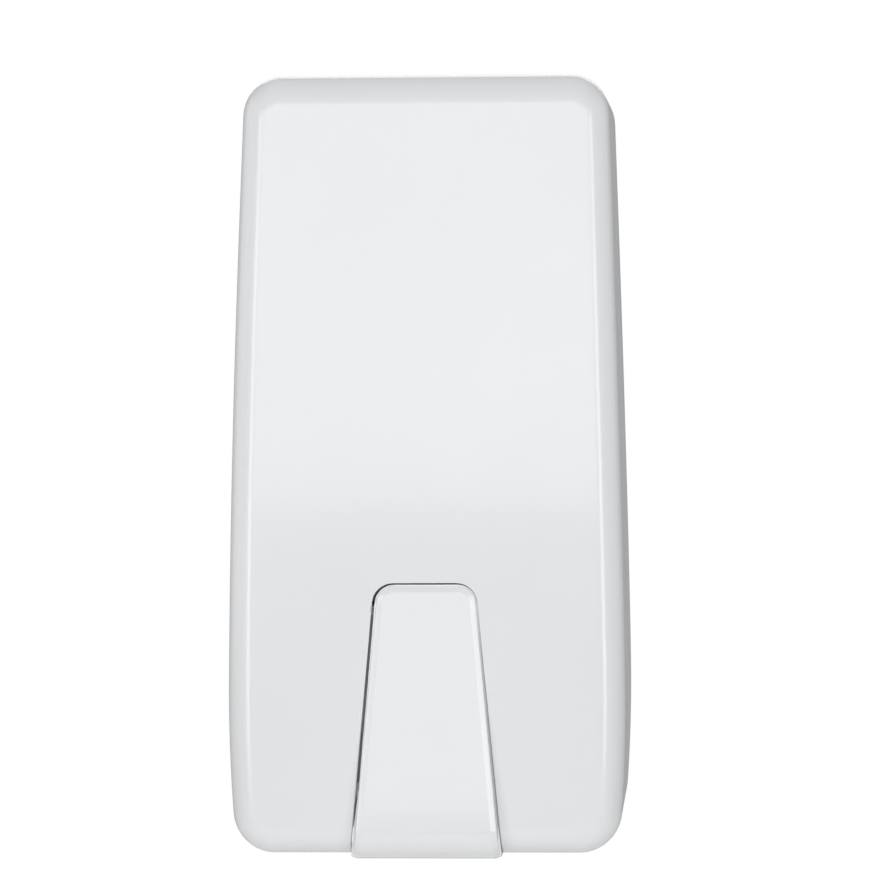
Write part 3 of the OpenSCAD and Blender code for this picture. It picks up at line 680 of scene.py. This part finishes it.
PUMP_Y = -55.0
TANK_Y0, TANK_Y1 = -94.0, -10.0
TANK_MID_Y = (TANK_Y0 + TANK_Y1) / 2
TANK_Z, TANK_TOP = 86.0, 200.0
TANK_HALF = 52
TANK_CORNER_R = 12
TANK_EDGE_R = 4
TANK_WALL = 1.8
FILLER_R, FILLER_H = 20, 1.2
NECK_R, NECK_H = 16, 10.5
LEVEL_MARKS = (105, 125, 145, 165, 185)
LID_RIBS = 36
CAP_RIBS = 42
PLATE_INSET = 3.7
PLATE_RIM = 10.0
PLATE_WALL = 2.8
PLATE_ROW = 8.25  # none of these rows crosses a screw hole
WALL_HOLES = [(x, z) for x in (-35, 35) for z in (47.5, 187.5)]
WALL_HOLE_R = 2.5
NOTCH_Z = 2 * HINGE_Z + 1
EAR_X0, EAR_X1 = 44.0, 49.0
SHELF_HALF = 48
SHELF_SLOT_R = 20.5
SHELF_THICK = 3
SPRING_Z0, SPRING_Z1 = 84.45, 101.55
SPRING_TURNS = 6
SPRING_R = 4.4
WIRE_R = 0.4


def make_reservoir():
    bm = block(-TANK_HALF, TANK_HALF, TANK_Y0, TANK_Y1, TANK_Z, TANK_TOP)
    upright = [e for e in bm.edges if abs(e.verts[0].co.z - e.verts[1].co.z) > 1]
    round_edges(bm, upright, TANK_CORNER_R, 8)
    round_edges(bm, edges_at(bm, lambda p: p.z > TANK_TOP - 0.1), TANK_EDGE_R, 4)
    round_edges(bm, edges_at(bm, lambda p: p.z < TANK_Z + 0.1), TANK_EDGE_R, 4)
    draw_out(bm, open_circle(bm, (0, TANK_MID_Y, TANK_TOP), FILLER_R), (0, 0, FILLER_H))
    draw_out(bm, open_circle(bm, (0, PUMP_Y, TANK_Z), NECK_R), (0, 0, -NECK_H))
    face_out(bm, (0, -1, 0))
    tank = piece("reservoir_bottle", bm, clear_plastic, "wall_unit")
    give_wall(tank, TANK_WALL)
    soften(tank, 0.3)
    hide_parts("reservoir")
    marks = joined(*[rounded_block(-44, -30, TANK_Y0 - 0.35, TANK_Y0 + 0.3, z - 0.5, z + 0.5, 0.2)
                     for z in LEVEL_MARKS])
    piece("reservoir_level_marks", marks, clear_plastic, "wall_unit")


def make_lid():
    bm = turned([(20.2, 202), (20.2, 200.3), (22, 200.3), (22, 203.2), (21.2, 204), (17, 204),
                 (16.2, 203.3)], y=TANK_MID_Y, steps=4 * LID_RIBS, grips=LID_RIBS, grip_depth=0.5)
    lid = piece("reservoir_screw_lid", bm, grey_plastic, "wall_unit")
    soften(lid, 0.2, 1)
    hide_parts("reservoir_lid")


def make_neck_cap():
    bm = turned([(9, 70), (22.2, 70), (23, 70.8), (23, 82), (22.2, 82.8), (20, 82.8), (20, 84),
                 (16.35, 84), (16.35, 72.5), (9, 72.5)],
                y=PUMP_Y, steps=4 * CAP_RIBS, ring=True, grips=CAP_RIBS, grip_depth=0.6)
    cap = piece("neck_screw_cap", bm, inner_white, "wall_unit")
    soften(cap, 0.2, 1)
    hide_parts("neck_cap")


def make_spring():
    bm = bmesh.new()
    steps = SPRING_TURNS * 28
    section = Matrix.Translation((SPRING_R, 0, SPRING_Z0)) @ Matrix.Rotation(radians(90), 4, "X")
    bmesh.ops.create_circle(bm, segments=10, radius=WIRE_R, matrix=section)
    start = list(bm.edges)
    made = bmesh.ops.spin(bm, geom=start, cent=(0, 0, 0), axis=(0, 0, 1), angle=2 * pi * SPRING_TURNS,
                          dvec=(0, 0, (SPRING_Z1 - SPRING_Z0) / steps), steps=steps)["geom_last"]
    bmesh.ops.contextual_create(bm, geom=start)
    bmesh.ops.contextual_create(bm, geom=[g for g in made if isinstance(g, bmesh.types.BMEdge)])
    bmesh.ops.recalc_face_normals(bm, faces=bm.faces)
    bmesh.ops.translate(bm, vec=(0, PUMP_Y, 0), verts=bm.verts)
    spring = piece("return_spring", bm, steel, "wall_unit")
    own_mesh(spring)
    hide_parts("pump_spring")


def make_back_plate():
    edge = BODY_W / 2 - PLATE_INSET
    top = BODY_H - PLATE_INSET
    bm = block(-edge, edge, -PLATE_RIM, 0, NOTCH_Z, top)
    upper = [e for e in bm.edges
             if abs(e.verts[0].co.y - e.verts[1].co.y) > 1 and e.verts[0].co.z > top - 1]
    round_edges(bm, upper, TOP_CORNER_R - PLATE_INSET, 8)
    remove_faces(bm, lambda c: c.y < -PLATE_RIM + 0.01)
    remove_faces(bm, lambda c: c.z < NOTCH_Z + 0.01)
    z = NOTCH_Z
    while z < top - TOP_CORNER_R - 6:
        z += PLATE_ROW
        cut(bm, (0, 0, z), (0, 0, 1))
    for v in bm.verts:
        v.co.x *= (half_width(v.co.z) - PLATE_INSET) / edge
    for x, z in WALL_HOLES:
        open_circle(bm, (x, 0, z), WALL_HOLE_R, axis=1)
    face_out(bm, (0, 1, 0))
    plate = piece("back_plate_tray", bm, inner_white, "wall_unit")
    give_wall(plate, PLATE_WALL)
    soften(plate, 0.4)
    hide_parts("back_plate")

    bosses = []
    for x, z in WALL_HOLES:
        ring = turned([(WALL_HOLE_R, 0.3), (6, 0.3), (6, 5), (WALL_HOLE_R, 5)], ring=True, steps=32)
        bosses.append(laid_along_y(ring, x, 0, z))
    soften(piece("back_plate_bosses", joined(*bosses), inner_white, "wall_unit"), 0.3)
    ribs = [rounded_block(-42, 42, -6, -1, z - 1, z + 1) for z in (110, 150)]
    ribs += [rounded_block(x, x + 2, -7, -1, 92, 215) for x in (-43, 41)]
    piece("back_plate_ribs", joined(*ribs), inner_white, "wall_unit")
    foot = [rounded_block(-EAR_X1, EAR_X1, -2.9, -0.05, 0.05, NOTCH_Z + 0.2, 0.4),
            rounded_block(-EAR_X1 + 0.1, EAR_X1 - 0.1, -29, -0.1, 0, 2.5, 0.4)]
    for x in (-EAR_X1, EAR_X0):
        ear = block(x, x + EAR_X1 - EAR_X0, HINGE_Y - 6, -1, 1, HINGE_Z + 6)
        front = edges_at(ear, lambda p: p.y < HINGE_Y - 5.9 and p.z > HINGE_Z + 5.9)
        round_edges(ear, front, 5.9, 8)
        foot.append(ear)
    soften(piece("back_plate_foot", joined(*foot), inner_white, "wall_unit"), 0.3)


def make_shelf():
    """Bracket under the bottle. Its front is open so that the neck slides in."""
    bm = bmesh.new()
    place = Matrix.Translation((0, -45.5, TANK_Z)) @ Matrix.Diagonal((2 * SHELF_HALF, 85, 1, 1))
    bmesh.ops.create_grid(bm, x_segments=1, y_segments=1, size=0.5, matrix=place)
    open_circle(bm, (0, PUMP_Y, TANK_Z), SHELF_SLOT_R)
    cut(bm, (0, PUMP_Y, 0), (0, 1, 0))
    for x in (-SHELF_SLOT_R, SHELF_SLOT_R):
        cut(bm, (x, 0, 0), (1, 0, 0), [f for f in bm.faces if f.calc_center_median().y < PUMP_Y])
    remove_faces(bm, lambda c: abs(c.x) < SHELF_SLOT_R and c.y < PUMP_Y)
    face_out(bm, (0, 0, 1))
    shelf = piece("bottle_shelf", bm, inner_white, "wall_unit")
    give_wall(shelf, SHELF_THICK)
    soften(shelf, 0.5)
    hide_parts("reservoir_shelf")

    gusset = block(38, 40.5, -63, -4, 82, 85)
    for v in gusset.verts:
        if v.co.z < 83 and v.co.y > -5:
            v.co.z = 60
    flange = rounded_block(-SHELF_HALF, SHELF_HALF, -6, -3.02, 58, 85.5)
    bracket = joined(flange, mirrored(gusset))
    soften(piece("bottle_shelf_bracket", bracket, inner_white, "wall_unit"), 0.3)


def make_keeper():
    """Hook on the back plate for the lock's blade."""
    tip, top, hook_z = -38, 224.6, 216
    plate = rounded_block(12, 28, -6, -3, 204, top, 0.8, 3)
    # The leg is a little smaller than the lip, so that no two corners meet in one point
    leg = rounded_block(17.5, 19.95, tip + 0.05, -3.5, hook_z + 0.05, top - 0.05, 0.6, 3)
    lip = rounded_block(11.8, 20, tip, -35.5, hook_z, top, 0.6, 3)
    keeper = piece("keeper_hook", joined(plate, leg, lip), grey_plastic, "wall_unit")
    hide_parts("keeper")


def make_fork():
    """Plate and two arms behind the lever that lift the pump's collar."""
    nose_y, nose_z = -57.3, 50
    arm = block(8, 11, -103.9, nose_y, nose_z - 3, nose_z + 3)
    for v in arm.verts:
        if v.co.z < nose_z and v.co.y < -100:
            v.co.z = 44
    nose = laid_along_x(turned([(3, 0), (3, 3)], steps=32), 8, nose_y, nose_z)
    arms = mirrored(joined(arm, nose))
    fork = joined(rounded_block(-11, 11, -104, -101, 44, 66, 0.6, 3), arms)
    fork = piece("lever_fork", fork, grey_plastic, "lever")
    soften(fork, 0.3)
    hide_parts("lift_fork")


make_cover()
add_cover_details()
make_lever()
make_reservoir()
make_lid()
make_neck_cap()
make_spring()
make_back_plate()
make_shelf()
make_keeper()
make_fork()


# ---- Camera, light and floor ----

def look_from(azimuth, elevation, distance, target):
    """The place and the turn of something that looks at a target from an angle."""
    out = Vector((sin(azimuth) * cos(elevation), -cos(azimuth) * cos(elevation), sin(elevation)))
    place = target + out * distance
    return place, (target - place).to_track_quat("-Z", "Y")


VIEW_AZIMUTH = radians(3.3)
VIEW_ROLL = radians(-0.3)
VIEW_ELEVATION = radians(1.5)
VIEW_DISTANCE = 1.5
FRAME_WIDTH = 0.27
VIEW_AIM = Vector((0.0004, -0.057, 0.0075))
SENSOR_WIDTH = 36
camera_data = bpy.data.cameras.new("camera")
camera_data.sensor_width = SENSOR_WIDTH
camera_data.lens = SENSOR_WIDTH * VIEW_DISTANCE / FRAME_WIDTH
camera_data.clip_end = 50
camera = bpy.data.objects.new("camera", camera_data)
bpy.context.scene.collection.objects.link(camera)
place, turn = look_from(VIEW_AZIMUTH, VIEW_ELEVATION, VIEW_DISTANCE, VIEW_AIM)
camera.location = place
camera.rotation_mode = "QUATERNION"
camera.rotation_quaternion = turn @ Quaternion((0, 0, 1), VIEW_ROLL)
bpy.context.scene.camera = camera


LIGHT_AIM = Vector((0, -0.05, 0))
FLOOR_Z = -0.75
FLOOR_R = 2.4


def softbox(name, azimuth, elevation, distance, size, power):
    """A rectangular light that looks at the middle of the dispenser."""
    data = bpy.data.lights.new(name, "AREA")
    data.shape = "RECTANGLE"
    data.size, data.size_y = size
    data.energy = power
    obj = bpy.data.objects.new(name, data)
    bpy.context.scene.collection.objects.link(obj)
    spot, facing = look_from(radians(azimuth), radians(elevation), distance, LIGHT_AIM)
    obj.location = spot
    obj.rotation_mode = "QUATERNION"
    obj.rotation_quaternion = facing


softbox("front_box", 0, 14.6, 1.65, (1.7, 0.87), 9.4)
softbox("left_box", -37, 6, 1.4, (0.28, 0.8), 2.6)
softbox("right_box", 38, 6, 1.4, (0.25, 0.8), 2.6)
softbox("left_fill", -95, 15, 1.6, (1.2, 1.2), 2.6)
softbox("right_fill", 100, 15, 1.6, (1.2, 1.2), 1.8)
softbox("top_box", 0, 95, 1.6, (1.4, 1.2), 1.6)
softbox("back_box", 180, 35, 1.8, (1.6, 1.2), 9)

# The camera sees a white room, while the light it gives is weaker
world = bpy.data.worlds.new("studio")
bpy.context.scene.world = world
world.use_nodes = True
tree = world.node_tree
seen = tree.nodes.new("ShaderNodeBackground")
lit = tree.nodes["Background"]
seen.inputs["Color"].default_value = (1, 1, 1, 1)
seen.inputs["Strength"].default_value = 1.0
lit.inputs["Color"].default_value = (0.97, 0.98, 1, 1)
lit.inputs["Strength"].default_value = 0.32
ray = tree.nodes.new("ShaderNodeLightPath")
choose = tree.nodes.new("ShaderNodeMixShader")
link(tree, ray.outputs["Is Camera Ray"], choose.inputs["Fac"])
link(tree, lit.outputs["Background"], choose.inputs[1])
link(tree, seen.outputs["Background"], choose.inputs[2])
link(tree, choose.outputs["Shader"], tree.nodes["World Output"].inputs["Surface"])
bpy.context.scene.view_settings.view_transform = "Standard"

floor_bm = bmesh.new()
bmesh.ops.create_circle(floor_bm, cap_ends=True, segments=96, radius=FLOOR_R)
floor_mesh = bpy.data.meshes.new("floor")
floor_bm.to_mesh(floor_mesh)
floor_bm.free()
floor = bpy.data.objects.new("floor", floor_mesh)
floor.location = (0, 0, FLOOR_Z)
bpy.context.scene.collection.objects.link(floor)
floor.data.materials.append(
    shade("floor_paint", MOULDED, (0.93, 0.93, 0.925), (0.92, 0.92, 0.915), 0.75, 0.1, 0.05,
          Emission_Color=(1, 1, 1, 1), Emission_Strength=0.05))
